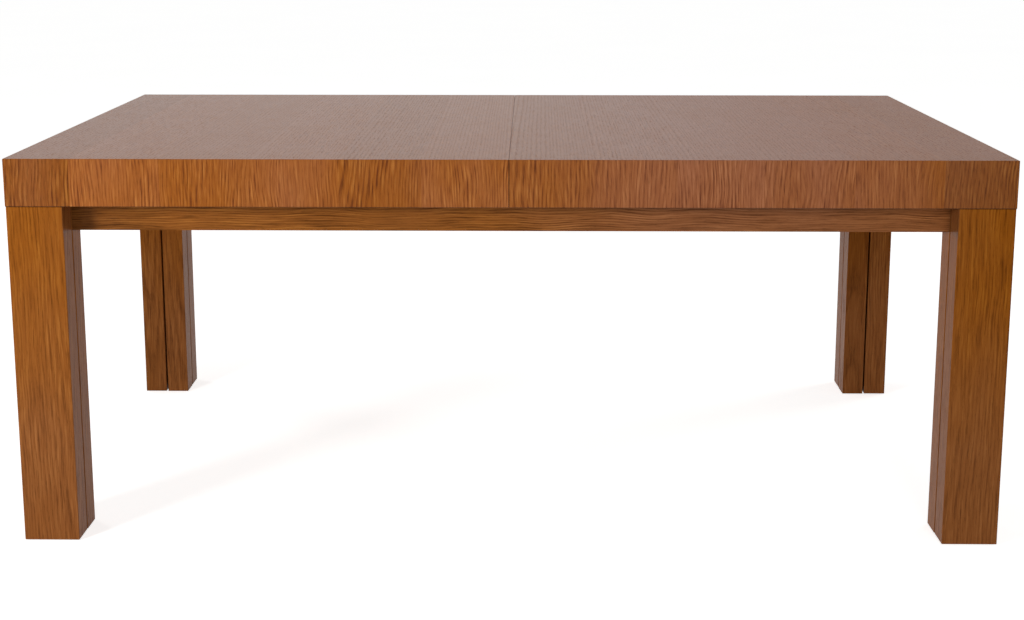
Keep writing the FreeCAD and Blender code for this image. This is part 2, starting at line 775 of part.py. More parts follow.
def slide_runner(label, at, turn, stop_along):
    """A hardwood bar with a tongue, counterbored for its screws and bored for its stop peg."""
    body = new_body(label)
    section = sketch_on(body, "YZ_Plane")
    face = "runner_thickness"
    top = "tongue_bottom + tongue_height"
    tip = "-tongue_depth"
    tongue = [("0", top), (tip, top), (tip, "tongue_bottom"), ("0", "tongue_bottom")]
    outline(section, [("0", "0"), (face, "0"), (face, "runner_height"), ("0", "runner_height")] + tongue)
    pad(body, section, "runner_length")
    centres = [(along, "runner_screw_y") for along in RUNNER_SCREW_PLACES]
    drill(body, "XY_Plane", "0", centres, PILOT, "runner_height", True)
    drill(body, "XY_Plane", "0", centres, "counterbore_radius", "counterbore_depth", True)
    bore = "stop_radius + hole_clearance"
    drill(body, "XY_Plane", "0", [(stop_along, "stop_y")], bore, "stop_depth", True)
    place(body, at, turn)


def centre_batten(label, at, turn):
    """A flat board beneath the split edge, with holes for its own screws and for the lock plates."""
    body = board(label, "batten_width", "batten_length", "batten_thickness", at, turn)
    middle = "batten_length / 2"
    centres = [("batten_width / 2", f"{middle} + {row}") for row in BATTEN_SCREW_ROWS]
    countersink(body, "XY_Plane", "0", centres, SCREW, "batten_thickness", True)
    centres = []
    for sign in ("-", "+"):
        for x, y in PLATE_SCREW_POINTS:
            centres.append((f"batten_width / 2 + {x}", f"{middle} {sign} lock_offset + {y}"))
    pilot = "plate_screw_radius + hole_clearance"
    drill(body, "XY_Plane", "0", centres, pilot, PILOT_DEPTH, True)


def lock_plate(label, at, turn, pin_radius_name):
    """A screwed plate, its top face at its own origin, with a headed pin hanging from it."""
    body = new_body(label)
    base = sketch_on(body, "XY_Plane", "-plate_thickness")
    half = ("plate_length / 2", "plate_width / 2")
    rectangle(base, (negative(half[0]), negative(half[1])), half)
    pad(body, base, "plate_thickness")
    neck = "head_top - batten_bottom"
    end = "head_bottom - batten_bottom"
    shank = [("0", "-plate_thickness"), (pin_radius_name, "-plate_thickness"), (pin_radius_name, neck)]
    revolve(body, shank + [("stud_head_radius", neck), ("stud_head_radius", end), ("0", end)])
    face = "-plate_thickness"
    countersink(body, "XY_Plane", face, PLATE_SCREW_POINTS, SMALL_SCREW, "plate_thickness", True)
    place(body, at, turn)


def lock_lever(label, at):
    """A flat lever that turns on the pivot. A catch cut in from one side takes the keeper's stud.

    It is drawn along X, which is the locked position, and parked a quarter turn back along -Y.
    """
    body = new_body(label)
    plan = sketch_on(body, "XY_Plane")
    end = "stud_distance + lever_tail"
    rectangle(plan, ("-lever_half", "-lever_half"), (end, "lever_half"))
    pad(body, plan, "lever_thickness")
    round_edges(body, "lever_half / 2", is_vertical)
    bore = "pivot_radius + pivot_clearance"
    drill(body, "XY_Plane", "0", [("0", "0")], bore, "lever_thickness", True)
    catch = sketch_on(body, "XY_Plane")
    catch_side = "stud_radius + lock_clearance"
    mouth = "lever_half + lock_clearance"
    rectangle(catch, ("catch_near", negative(catch_side)), ("catch_far", mouth))
    pocket(body, catch, "lever_thickness", True)
    tab = sketch_on(body, "XY_Plane", "-lever_tab_drop")
    rectangle(tab, (f"{end} - lever_thickness", "-lever_half / 2"), (end, "lever_half / 2"))
    pad(body, tab, "lever_tab_drop + lever_thickness")
    place(body, at, -90)


def build_half(case, side):
    turn = 0 if side == "left" else 180
    swapped = {"front": "rear", "rear": "front"}

    def name(piece, end):
        return f"{piece}_{swapped[end] if turn else end}"

    def at(x, y, z):
        """A point of the left half, carried to this half."""
        return (negative(x), negative(y), z) if turn else (x, y, z)

    top_and_skirts(case, side, turn, name)

    corner = at("-half_seam - batten_width", "-batten_length / 2", "batten_bottom")
    centre_batten(f"centre_batten_{side}", corner, turn)

    leg_x = "-leg_corner_x"
    outer_leg(f"{name('leg', 'front')}_{side}", at(leg_x, "-leg_corner_y", "glide_height"), turn)
    outer_leg(f"{name('leg', 'rear')}_{side}", at(leg_x, "leg_corner_y", "glide_height"), turn - 90)

    size = ("block_length", "leg_arm - leg_rebate", "leg_upper_height - block_clearance")
    for end, block_y in (("front", "leg_rebate - leg_corner_y"), ("rear", "leg_corner_y - leg_arm")):
        corner = at("leg_size - leg_corner_x", block_y, "skirt_bottom + block_clearance")
        board(f"{name('leg_block', end)}_{side}", *size, corner, turn)

    start = at("-runner_outer_x", "-runner_y", "runner_bottom")
    slide_runner(f"{name('slide_runner', 'front')}_{side}", start, turn, "runner_outer_x - stop_x")
    start = at("-runner_inner_x", "runner_y", "runner_bottom")
    slide_runner(f"{name('slide_runner', 'rear')}_{side}", start, turn + 180, "stop_x - runner_inner_x")

    panel_screws = []
    pegs = []
    glides = []
    leg_screws = []
    for sign in ("-", ""):
        row = f"{sign}(runner_y - runner_screw_y)"
        for along in RUNNER_SCREW_PLACES:
            point = (f"{along} - runner_outer_x", row, "runner_bottom + counterbore_depth")
            panel_screws.append((runner_screw, point, UPRIGHT))
        pegs.append((stop_peg, ("-stop_x", f"{sign}(runner_y - stop_y)", "stop_bottom"), UPRIGHT))
        foot = ("leg_arm / 2 - leg_corner_x", f"{sign}(leg_corner_y - leg_arm / 2)", "0")
        glides.append((foot_glide, foot, UPRIGHT))
        outward = TOWARDS_FRONT if sign else TOWARDS_REAR
        for height in LEG_SCREW_HEIGHTS:
            level = f"skirt_bottom + {height}"
            along = f"{LEG_SCREW_ALONG} - leg_corner_x"
            leg_screws.append((leg_screw, (along, f"{sign}(leg_corner_y - leg_arm)", level), outward))
            row = f"{sign}(leg_corner_y - {LEG_SCREW_ALONG})"
            leg_screws.append((leg_screw, ("leg_arm - leg_corner_x", row, level), TOWARDS_LEFT))
    for row in BATTEN_SCREW_ROWS:
        panel_screws.append((batten_screw, (negative(BATTEN_MIDDLE), row, "batten_bottom"), UPRIGHT))
    copies(f"panel_screws_{side}", panel_screws, turn)
    copies(f"leg_screws_{side}", leg_screws, turn)
    copies(f"stop_pegs_{side}", pegs, turn)
    copies(f"leg_glides_{side}", glides, turn)

    plate_screws = []
    for end, sign in FRONT_REAR.items():
        point = at("-pivot_x", f"{sign}lock_offset", "batten_bottom")
        if side == "left":
            lock_plate(f"lock_base_{end}", point, turn, "pivot_radius")
            lever_at = ("-pivot_x", f"{sign}lock_offset", "lever_bottom")
            lock_lever(f"lock_lever_{end}", lever_at)
        else:
            lock_plate(name("lock_keeper", end), point, turn, "stud_radius")
        for x, y in PLATE_SCREW_POINTS:
            screw_at = (f"{x} - pivot_x", f"{sign}lock_offset + {y}", "plate_bottom")
            plate_screws.append((plate_screw, screw_at, UPRIGHT))
    copies(f"lock_screws_{side}", plate_screws, turn)

    if side == "left":
        level = "table_height - panel_thickness / 2"
        pins = [(alignment_pin, ("half_seam + pin_reach", row, level), TOWARDS_LEFT) for row in PIN_ROWS]
        copies("alignment_pins", pins)


build_frame()
case = half_case()
build_half(case, "left")
build_half(case, "right")

# ---------------------------------------------------------------- checks and output

doc.recompute()
for item in doc.Objects:
    if {"Invalid", "Error"} & set(item.State):
        raise RuntimeError(f"{item.Label} failed: {item.State}")
for item in NODES:
    if item.Shape.isNull() or not item.Shape.isValid():
        raise RuntimeError(f"{item.Label} has a bad shape")

os.makedirs("parts", exist_ok=True)
for item in NODES:
    item.Shape.exportStep(f"parts/{item.Label}.step")
    print(f"{item.Label}: {len(item.Shape.Solids)} solid(s)")
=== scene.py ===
"""Looks of the extension Parsons dining table: oak veneer, beech, metal, floor, light and camera.

The table stands on the floor with its middle at the origin. X runs along it and the front is at -Y.
Blender's own places are in metres. Grain, joints and reliefs are worked out in millimetres.
"""

import math
from typing import NamedTuple

import bpy
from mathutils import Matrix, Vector


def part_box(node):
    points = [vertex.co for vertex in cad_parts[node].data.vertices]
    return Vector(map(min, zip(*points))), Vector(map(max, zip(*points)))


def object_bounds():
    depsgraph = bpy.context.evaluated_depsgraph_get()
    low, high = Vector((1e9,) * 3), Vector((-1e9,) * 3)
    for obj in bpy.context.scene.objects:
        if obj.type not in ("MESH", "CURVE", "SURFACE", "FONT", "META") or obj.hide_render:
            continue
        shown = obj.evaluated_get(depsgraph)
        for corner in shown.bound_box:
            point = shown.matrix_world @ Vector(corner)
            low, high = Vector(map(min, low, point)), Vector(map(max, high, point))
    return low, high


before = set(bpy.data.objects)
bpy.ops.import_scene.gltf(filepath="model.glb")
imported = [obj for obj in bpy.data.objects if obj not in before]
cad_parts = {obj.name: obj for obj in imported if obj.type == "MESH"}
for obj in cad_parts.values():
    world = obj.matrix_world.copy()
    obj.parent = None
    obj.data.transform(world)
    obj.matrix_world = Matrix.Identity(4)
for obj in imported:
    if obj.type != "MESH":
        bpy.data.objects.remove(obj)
cad_low, cad_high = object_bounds()


# ---------------------------------------------------------------- sizes from the frame

METRE = 1000


def box_of(node):
    """The lowest and the highest corner of a CAD node, in millimetres."""
    return [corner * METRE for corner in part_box(node)]


HALF_WIDTH = cad_high.y * METRE
TABLE_HEIGHT = cad_high.z * METRE

# This leg stands where X and Y are above nought, so its lowest corner is the inner one.
LEG_INNER, LEG_OUTER = box_of("leg_rear_right")
LEG_MIDDLE = (LEG_INNER + LEG_OUTER) / 2
RAIL_LOW, RAIL_HIGH = box_of("frame_rail_front")
RAIL_MIDDLE = (RAIL_LOW + RAIL_HIGH) / 2
SKIRT_BOTTOM = box_of("skirt_front_left")[0].z


# ---------------------------------------------------------------- shader arithmetic

WHITE = (1, 1, 1, 1)
NOISE_ROUGHNESS = 0.55


def srgb(red, green, blue):
    """A colour written as it looks on a screen, 0 to 255, as the linear colour that shaders use."""

    def linear(part):
        part /= 255
        return part / 12.92 if part <= 0.04045 else ((part + 0.055) / 1.055) ** 2.4

    return (linear(red), linear(green), linear(blue), 1.0)


class Grain(NamedTuple):
    """A layer of noise: its seed, the size of its spots in millimetres, and how much it counts."""

    seed: float
    width: float
    length: float
    strength: float = 1.0
    detail: float = 1.0


class Field:
    """A number that varies over a surface: one output of a node, open to arithmetic."""

    def __init__(self, surface, socket):
        self.surface = surface
        self.socket = socket

    def __add__(self, other):
        return self.surface.math("ADD", self, other)

    def __radd__(self, other):
        return self.surface.math("ADD", other, self)

    def __sub__(self, other):
        return self.surface.math("SUBTRACT", self, other)

    def __rsub__(self, other):
        return self.surface.math("SUBTRACT", other, self)

    def __mul__(self, other):
        return self.surface.math("MULTIPLY", self, other)

    def __rmul__(self, other):
        return self.surface.math("MULTIPLY", other, self)

    def __truediv__(self, other):
        return self.surface.math("DIVIDE", self, other)

    def __gt__(self, other):
        return self.surface.math("GREATER_THAN", self, other)

    def __lt__(self, other):
        return self.surface.math("LESS_THAN", self, other)

    def __abs__(self):
        return self.surface.math("ABSOLUTE", self)


class Surface:
    """A material under construction, with its Principled shader and the nodes that feed it."""

    def __init__(self, name):
        self.material = bpy.data.materials.new(name)
        self.material.use_nodes = True
        self.nodes = self.material.node_tree.nodes
        self.links = self.material.node_tree.links
        self.shader = self.nodes["Principled BSDF"]

    def feed(self, socket, value):
        """Sets an input, or links it where the value is another node's output."""
        if isinstance(value, Field):
            self.links.new(value.socket, socket)
        else:
            socket.default_value = value

    def add(self, kind, inputs, **settings):
        """A new node. Inputs are given by name or by number."""
        node = self.nodes.new(f"ShaderNode{kind}")
        for name, value in settings.items():
            setattr(node, name, value)
        for name, value in inputs.items():
            self.feed(node.inputs[name], value)
        return node

    def math(self, operation, *terms):
        node = self.add("Math", dict(enumerate(terms)), operation=operation)
        return Field(self, node.outputs[0])

    def larger(self, one, other):
        return self.math("MAXIMUM", one, other)

    def split(self, socket):
        """The three parts of a vector or colour output."""
        node = self.add("SeparateXYZ", {})
        self.links.new(socket, node.inputs[0])
        return [Field(self, output) for output in node.outputs]

    def join(self, x, y, z):
        return Field(self, self.add("CombineXYZ", {0: x, 1: y, 2: z}).outputs[0])

    def position(self):
        """The place on the piece in millimetres, as it stands at rest."""
        return [part * METRE for part in self.split(self.add("TexCoord", {}).outputs["Object"])]

    def facing(self):
        """How squarely the surface faces along X, Y and Z, from -1 to 1."""
        return self.split(self.add("TexCoord", {}).outputs["Normal"])

    def smooth(self, value, low, high):
        """A smooth step from 0 at low to 1 at high."""
        inputs = {"Value": value, "From Min": low, "From Max": high}
        node = self.add("MapRange", inputs, interpolation_type="SMOOTHSTEP")
        return Field(self, node.outputs["Result"])

    def choose(self, switch, when_off, when_on):
        """One number or the other, or a mix, as the switch goes from 0 to 1."""
        node = self.add("Mix", {"Factor": switch, 2: when_off, 3: when_on}, data_type="FLOAT")
        return Field(self, node.outputs[0])

    def blend(self, switch, when_off, when_on):
        """One colour or the other, or a mix, as the switch goes from 0 to 1."""
        node = self.add("Mix", {0: switch, 6: when_off, 7: when_on}, data_type="RGBA")
        return Field(self, node.outputs[2])

    def shade(self, colour, brightness):
        """A colour made lighter or darker."""
        node = self.add("VectorMath", {0: colour, "Scale": brightness}, operation="SCALE")
        return Field(self, node.outputs[0])

    def chances(self, seed):
        """Three random numbers from 0 to 1, the same wherever the seed is the same."""
        node = self.add("TexWhiteNoise", {"W": seed}, noise_dimensions="1D")
        return self.split(node.outputs["Color"])

    def cloud(self, across, along, grain, spot=0.0, stretch=1.0):
        """Noise about nought, not yet multiplied by the grain's strength. Each spot has its own."""
        length = grain.length * stretch
        inputs = {
            "Vector": self.join(across / grain.width, along / length, spot + grain.seed),
            "Scale": 1.0,
            "Detail": grain.detail,
            "Roughness": NOISE_ROUGHNESS,
        }
        return Field(self, self.add("TexNoise", inputs).outputs[0]) - 0.5

    def finish(self, colour, roughness, height=None, relief=0.0, **shader_values):
        """Feeds the shader. Height is in units of the relief, which is a depth in millimetres."""
        self.feed(self.shader.inputs["Base Color"], colour)
        self.feed(self.shader.inputs["Roughness"], roughness)
        for name, value in shader_values.items():
            self.shader.inputs[name.replace("_", " ")].default_value = value
        if height is not None:
            inputs = {"Height": height, "Strength": 1.0, "Distance": relief / METRE}
            bump = self.add("Bump", inputs)
            self.links.new(bump.outputs[0], self.shader.inputs["Normal"])
        return self.material


# ---------------------------------------------------------------- oak


class Oak(NamedTuple):
    """A kind of oak: its stained colours, how it lay in the log, in millimetres, and its gloss.

    Each of the two stains is a dark, a middle and a light colour. The pith lies beside the leaf,
    between the near and the far distance, and behind it by the depth or more. Taper is how much
    the rings shift per millimetre along the trunk. Stretch lengthens the fine lines.
    """

    golden: tuple
    rosy: tuple
    ring_width: float
    pith_near: float
    pith_far: float
    depth: float
    taper: float
    stretch: float
    specular: float


class Cut(NamedTuple):
    """How far a leaf's lines bend, and how strong its figure is.

    Without any bend, its lines are straight and its growth rings faint.
    """

    bend: Field | float
    contrast: Field | float


# Layers that push the grain sideways. Their strength is in millimetres.
SWAY = Grain(seed=0.0, width=240, length=800, strength=30)
WAVE = Grain(seed=3.7, width=85, length=150, strength=22)
RIPPLE = Grain(seed=9.1, width=9, length=60, strength=0.9)
LINE_SPACING = Grain(seed=17.0, width=12, length=1, strength=6)

# Growth rings. The strength of their spacing is in rings, and a ring runs from 0 to 1. The pith
# can lie farther behind a leaf than its kind's depth says, by up to the depth spread.
RING_SPACING = Grain(seed=1.3, width=24, length=1, strength=2.4)
EARLY_WOOD_START = (0.0, 0.14)
EARLY_WOOD_END = (0.2, 0.7)
EARLY_WOOD_MEAN = 0.4
DEPTH_SPREAD = 50

# Layers that make the figure, and the tones between which a stain turns from one colour to the next.
STREAK = Grain(seed=6.0, width=2.2, length=46, strength=2.4)
DASH = Grain(seed=13.0, width=3.4, length=34, strength=1.8)
BAND = Grain(seed=7.0, width=16, length=300, strength=0.25)
PATCH = Grain(seed=8.0, width=90, length=260, strength=0.4)
DARK_TONES = (-1, 0.1)
LIGHT_TONES = (-0.1, 1)

# Where the grain shows clearly, and what that adds to the least that it shows anywhere.
CLEAR = Grain(seed=15.0, width=55, length=210)
CLEAR_RANGE = (-0.25, 0.25)
LEAST_RINGS = 0.3
CLEAR_RINGS = 0.4
STRAIGHT_RINGS = 0.25
LEAST_FIGURE = 0.78
CLEAR_FIGURE = 0.44
LEAST_HEIGHT = 0.25

# Pores are short dark hollows, closest together in the early wood.
PORE = Grain(seed=5.0, width=0.8, length=14)
PORE_EDGE = (0.13, 0.24)
EARLY_PORES = 0.14
PORE_DARKNESS = 0.34
PORE_ROUGHNESS = 0.18
PORE_DEPTH = 0.8
STREAK_HEIGHT = 0.2
OAK_RELIEF = 0.05

# Worn and highlit edges: where a surface turns from a face to an edge, and where the stain has rubbed
# off and a painted highlight lightens it.
EDGE_TO_FACE = (0.8, 0.99)
WORN_AND_HIGHLIT_RANGE = (-0.1, 0.25)
WEAR_AND_HIGHLIGHT_BRIGHTNESS = 0.2
WORN_ROUGHNESS = 0.08

GLOSS = Grain(seed=11.0, width=40, length=60, strength=0.05, detail=3.0)
OAK_ROUGHNESS = 0.3
OAK_BRIGHTNESS = 1.02
LEAF_BRIGHTNESS = 0.08
LEAF_ROSINESS = 0.25
PATCH_ROSINESS = 0.8
SEED_STEP = 7.31


class Leaf:
    """A leaf of plain-sawn oak: a flat slice from its own place in the log.

    Across and along are places on the leaf in millimetres, and each seed is another leaf.
    """

    def __init__(self, surface, kind, cut, across, along, seed):
        self.surface = surface
        self.kind = kind
        self.cut = cut
        self.across = across
        self.along = along
        self.beside_chance, self.taper_chance, self.behind_chance = surface.chances(seed)
        self.spot = seed * SEED_STEP
        wave = self.layer(WAVE) * WAVE.strength * cut.bend
        ripple = self.layer(RIPPLE) * RIPPLE.strength * cut.bend
        self.bent = across + wave + ripple
        spacing = surface.cloud(self.bent, 0.0, LINE_SPACING, self.spot)
        self.line = self.bent + spacing * LINE_SPACING.strength

    def layer(self, grain):
        """Noise in spots that lie along the leaf."""
        return self.surface.cloud(self.across, self.along, grain, self.spot)

    def lines(self, grain):
        """Noise in fine lines, which are unevenly spaced and bend with the grain."""
        return self.surface.cloud(self.line, self.along, grain, self.spot, self.kind.stretch)

    def early_wood(self):
        """1 in the porous early wood of a growth ring, and 0 in its late wood.

        The trunk is slightly conical, so its rings come out as straight lines where the leaf
        passes far beside the pith, and as long arches where it passes over it.
        """
        surface = self.surface
        kind = self.kind
        sway = self.layer(SWAY) * SWAY.strength * self.cut.bend
        to_pith = surface.choose(self.beside_chance, kind.pith_near, kind.pith_far)
        beside = self.bent + sway + to_pith * ((self.behind_chance > 0.5) * 2 - 1)
        taper = surface.choose(self.taper_chance > 0.5, -kind.taper, kind.taper)
        depth = kind.depth + self.behind_chance * DEPTH_SPREAD
        behind = depth + self.along * taper * self.cut.bend
        radius = surface.math("SQRT", beside * beside + behind * behind)
        uneven = surface.cloud(radius, 0.0, RING_SPACING, self.spot) * RING_SPACING.strength
        ring = surface.math("FRACT", radius / kind.ring_width + uneven)
        return surface.smooth(ring, *EARLY_WOOD_START) - surface.smooth(ring, *EARLY_WOOD_END)


def stained(surface, tone, stain):
    """The colour of a stain where the grain is dark, at -1, to light, at 1."""
    dark, middle, light = stain
    colour = surface.blend(surface.smooth(tone, *DARK_TONES), dark, middle)
    return surface.blend(surface.smooth(tone, *LIGHT_TONES), colour, light)


def worn_and_highlit_edges(surface, patchiness):
    """1 where an edge has lost its stain and takes a painted highlight, and 0 on every upright or
    level face.
    """
    normal_x, normal_y, normal_z = surface.facing()
    squarest = surface.larger(surface.larger(abs(normal_x), abs(normal_y)), abs(normal_z))
    is_edge = 1 - surface.smooth(squarest, *EDGE_TO_FACE)
    return is_edge * surface.smooth(patchiness, *WORN_AND_HIGHLIT_RANGE)


def oak(leaf, rosiness, darkness, dullness=0.0):
    """Stained and varnished oak. Rosiness goes from 0 for the golden stain to 1 for the rosy one."""
    surface = leaf.surface
    kind = leaf.kind
    early = leaf.early_wood()
    pores = surface.smooth(leaf.layer(PORE) + early * EARLY_PORES, *PORE_EDGE)
    streak = leaf.lines(STREAK)
    dash = leaf.lines(DASH)
    band = leaf.layer(BAND)
    patch = leaf.layer(PATCH)
    clear = surface.smooth(leaf.layer(CLEAR), *CLEAR_RANGE)
    worn_and_highlit = worn_and_highlit_edges(surface, patch + streak)

    rings = (EARLY_WOOD_MEAN - early) * (LEAST_RINGS + clear * CLEAR_RINGS)
    rings = rings * (STRAIGHT_RINGS + (1 - STRAIGHT_RINGS) * leaf.cut.bend)
    figure = streak * STREAK.strength + dash * DASH.strength + rings
    figure = figure + band * BAND.strength + patch * PATCH.strength
    tone = figure * (LEAST_FIGURE + clear * CLEAR_FIGURE) * leaf.cut.contrast

    redness = rosiness + leaf.behind_chance * LEAF_ROSINESS + patch * PATCH_ROSINESS
    golden = stained(surface, tone, kind.golden)
    rosy = stained(surface, tone, kind.rosy)
    brightness = OAK_BRIGHTNESS + (leaf.beside_chance - 0.5) * LEAF_BRIGHTNESS
    brightness = brightness - pores * leaf.cut.contrast * PORE_DARKNESS
    # Edges are lightened, partly by rubbed-off stain and partly by a painted highlight.
    brightness = brightness + worn_and_highlit * WEAR_AND_HIGHLIGHT_BRIGHTNESS - darkness

    gloss = leaf.layer(GLOSS)
    roughness = OAK_ROUGHNESS + pores * PORE_ROUGHNESS + gloss * GLOSS.strength
    return surface.finish(
        surface.shade(surface.blend(redness, golden, rosy), brightness),
        roughness + worn_and_highlit * WORN_ROUGHNESS + dullness,
        (streak * STREAK_HEIGHT - pores * PORE_DEPTH) * (LEAST_HEIGHT + clear),
        relief=OAK_RELIEF,
        Specular_IOR_Level=kind.specular,
    )


# ---------------------------------------------------------------- oak pieces

# A face looks along an axis where its normal is above this.
FACING = 0.7

# A joint gets a painted shade line, where its narrow gap lies in shade. Its core is the share of its
# reach that is fully dark.
JOINT_CORE = 0.4
JOINT_SHADE = 0.55


def near(surface, distance, reach):
    """1 on a line, and down to 0 at the given reach from it."""
    return 1 - surface.smooth(abs(distance), reach * JOINT_CORE, reach)


CASE_OAK = Oak(
    golden=(srgb(109, 52, 15), srgb(156, 87, 26), srgb(185, 116, 48)),
    rosy=(srgb(108, 57, 37), srgb(158, 97, 65), srgb(184, 122, 87)),
    ring_width=5.8,
    pith_near=135,
    pith_far=220,
    depth=70,
    taper=0.07,
    stretch=1,
    specular=0.135,
)
TOP_CUT = Cut(bend=0.12, contrast=0.4)
SKIRT_CUT = Cut(bend=1.0, contrast=0.72)
LEAF_WIDTH = 158
LEAF_UNEVENNESS = Grain(seed=2.5, width=420, length=1, strength=0.5)
TOP_SEED = 20.0
LEFT_END_SEED = 60.0
RIGHT_END_SEED = 90.0
CASE_JOINT_REACH = 1.6

# Stain, gloss and painted shade of the case. A pair is the stretch of X over which a change comes on.
OUTER_LEAVES_BEYOND = 5
OUTER_TOP_DARKNESS = 0.08
OUTER_SKIRT_DARKNESS = 0.22
# Painted shade: the case darkens towards its right end, away from the key lamp, where its rosy stain
# also fades.
RIGHT_END = (520, 880)
RIGHT_END_SHADE = 0.08
CASE_ROSY_STRETCH = (-40, 330)
CASE_ROSINESS = 0.62
DULL_STRETCH = (-100, 850)
DULLNESS = 0.09


def veneer_leaves(surface, across, width):
    """Splits a wide face into veneer leaves: the place across each leaf, and the leaf's number."""
    unevenness = surface.cloud(across, 0.0, LEAF_UNEVENNESS) * LEAF_UNEVENNESS.strength
    place = across / width + unevenness
    number = surface.math("FLOOR", place)
    return (place - number - 0.5) * width, number


def case_veneer():
    """The top and skirts. The front and rear skirts carry on the leaves of the top, over the edge."""
    surface = Surface("oak_case_veneer")
    x, y, z = surface.position()
    normal_x, normal_y = surface.facing()[:2]
    on_end = abs(normal_x) > FACING
    on_side = abs(normal_y) > FACING
    on_skirt = surface.larger(on_end, on_side)

    fold = surface.choose(y > 0, -HALF_WIDTH - TABLE_HEIGHT, HALF_WIDTH + TABLE_HEIGHT)
    down = surface.choose(y > 0, z, 0 - z)
    along = surface.choose(on_side, y, fold + down)
    along = surface.choose(on_end, along, z)
    across, number = veneer_leaves(surface, surface.choose(on_end, x, y), LEAF_WIDTH)
    end_seed = surface.choose(x > 0, LEFT_END_SEED, RIGHT_END_SEED)
    seed = number + surface.choose(on_end, TOP_SEED, end_seed)
    cut = Cut(
        bend=surface.choose(on_skirt, TOP_CUT.bend, SKIRT_CUT.bend),
        contrast=surface.choose(on_skirt, TOP_CUT.contrast, SKIRT_CUT.contrast),
    )

    # Painted shade along the seam between the halves and along the skirts' bottom edge.
    seam = near(surface, x, CASE_JOINT_REACH) * on_skirt
    joint = surface.larger(seam, near(surface, z - SKIRT_BOTTOM, CASE_JOINT_REACH))
    is_outer = (abs(number + 0.5) > OUTER_LEAVES_BEYOND) * (1 - on_end)
    outer_darkness = surface.choose(on_skirt, OUTER_TOP_DARKNESS, OUTER_SKIRT_DARKNESS)
    right_end = surface.smooth(x, *RIGHT_END)
    rosiness = surface.smooth(x, *CASE_ROSY_STRETCH) * (1 - right_end) * CASE_ROSINESS
    # Painted shade darkens the joints and the right end. The outer leaves are a darker stain.
    darkness = joint * JOINT_SHADE + right_end * RIGHT_END_SHADE + is_outer * outer_darkness
    dullness = surface.smooth(x, *DULL_STRETCH) * DULLNESS * (1 - on_skirt)
    leaf = Leaf(surface, CASE_OAK, cut, across, along, seed)
    return oak(leaf, rosiness, darkness, dullness)


LEG_OAK = Oak(
    golden=(srgb(106, 55, 8), srgb(147, 82, 18), srgb(176, 108, 30)),
    rosy=(srgb(100, 55, 26), srgb(143, 86, 43), srgb(168, 108, 59)),
    ring_width=4.4,
    pith_near=25,
    pith_far=90,
    depth=60,
    taper=0.05,
    stretch=1.5,
    specular=0.03,
)
LEG_CUT = Cut(bend=0.5, contrast=0.7)
LEG_SEED = 5
LEG_SEED_STEPS = (3, 7, 13, 29, 31, 41)
LEG_JOINT_REACH = 1.8

# A place in the gap between a post and its leg, from the leg's middle, and the most that the
# normal's X times X can be on a face that looks towards the middle of the table.
POST_EDGE = 0.5
LOOKS_INWARDS = -1

# Stain and painted shade of the legs. The pair is the stretch of Z over which the change comes on,
# downwards.
LEG_ROSY_STRETCH = (520, 100)
LEG_ROSINESS = 0.9
CORNER_SHADE_ROSINESS = 0.9
CORNER_BLUR = 8
LEFT_CORNER_SHADE = 0.06
RIGHT_CORNER_SHADE = 0.25
# Painted shade darkens the rear left legs, which stand farther back from the lamps.
REAR_LEFT_SHADE = 0.15


def leg_veneer():
    """Legs and posts, with upright grain and a leaf of their own on each face.

    Painted shade darkens and reddens their faces that look inwards beside the rails.
    """
    surface = Surface("oak_leg")
    x, y, z = surface.position()
    normal_x, normal_y = surface.facing()[:2]
    on_end = abs(normal_x) > FACING
    from_x = abs(x) - LEG_MIDDLE.x
    from_y = abs(y) - LEG_MIDDLE.y
    across = surface.choose(on_end, from_x, from_y)
    is_post = surface.larger(from_x, from_y) < POST_EDGE
    tests = (x > 0, y > 0, on_end, normal_x > FACING, normal_y > FACING, is_post)
    seed = sum((test * step for test, step in zip(tests, LEG_SEED_STEPS)), LEG_SEED)

    # Painted shade along the joint under the skirt.
    joint = near(surface, z - SKIRT_BOTTOM, LEG_JOINT_REACH)
    # Painted shade on faces that look inwards beside the rails, where the rails keep the light off.
    faces_middle = normal_x * x < LOOKS_INWARDS
    beside_rail = surface.smooth(z, RAIL_LOW.z - CORNER_BLUR, RAIL_LOW.z + CORNER_BLUR)
    corner = faces_middle * beside_rail
    corner_shade = surface.choose(x > 0, LEFT_CORNER_SHADE, RIGHT_CORNER_SHADE)
    is_rear_left = (y > 0) * (1 - (x > 0))
    rosiness = surface.smooth(z, *LEG_ROSY_STRETCH) * LEG_ROSINESS + corner * CORNER_SHADE_ROSINESS
    darkness = joint * JOINT_SHADE + corner * corner_shade
    # Painted shade on the rear left legs.
    darkness = darkness + is_rear_left * REAR_LEFT_SHADE
    return oak(Leaf(surface, LEG_OAK, LEG_CUT, across, z, seed), rosiness, darkness)


RAIL_OAK = Oak(
    golden=(srgb(96, 54, 16), srgb(142, 84, 34), srgb(169, 106, 46)),
    rosy=(srgb(98, 56, 30), srgb(144, 90, 56), srgb(168, 110, 72)),
    ring_width=4.4,
    pith_near=20,
    pith_far=70,
    depth=40,
    taper=0.02,
    stretch=1.8,
    specular=0.06,
)
RAIL_CUT = Cut(bend=0.75, contrast=0.8)
LONG_RAIL_SEED = 11
END_RAIL_SEED = 23
OTHER_SIDE_SEED_STEP = 17
SIDE_SHIFT = 0.35

# Stain and painted shade of the rails. A pair is the stretch over which a change comes on along X.
RAIL_ROSY_STRETCH = (-100, 350)
RAIL_ROSINESS = 0.85
RAIL_FADE_STRETCH = (560, 800)
RAIL_FADE = 0.4
RAIL_CORNER_WIDTH = 60
RAIL_CORNER_SHADE = 0.1
FRONT_LEFT_SHADOW_STRETCH = (-600, -760)
FRONT_LEFT_SHADOW = 0.26


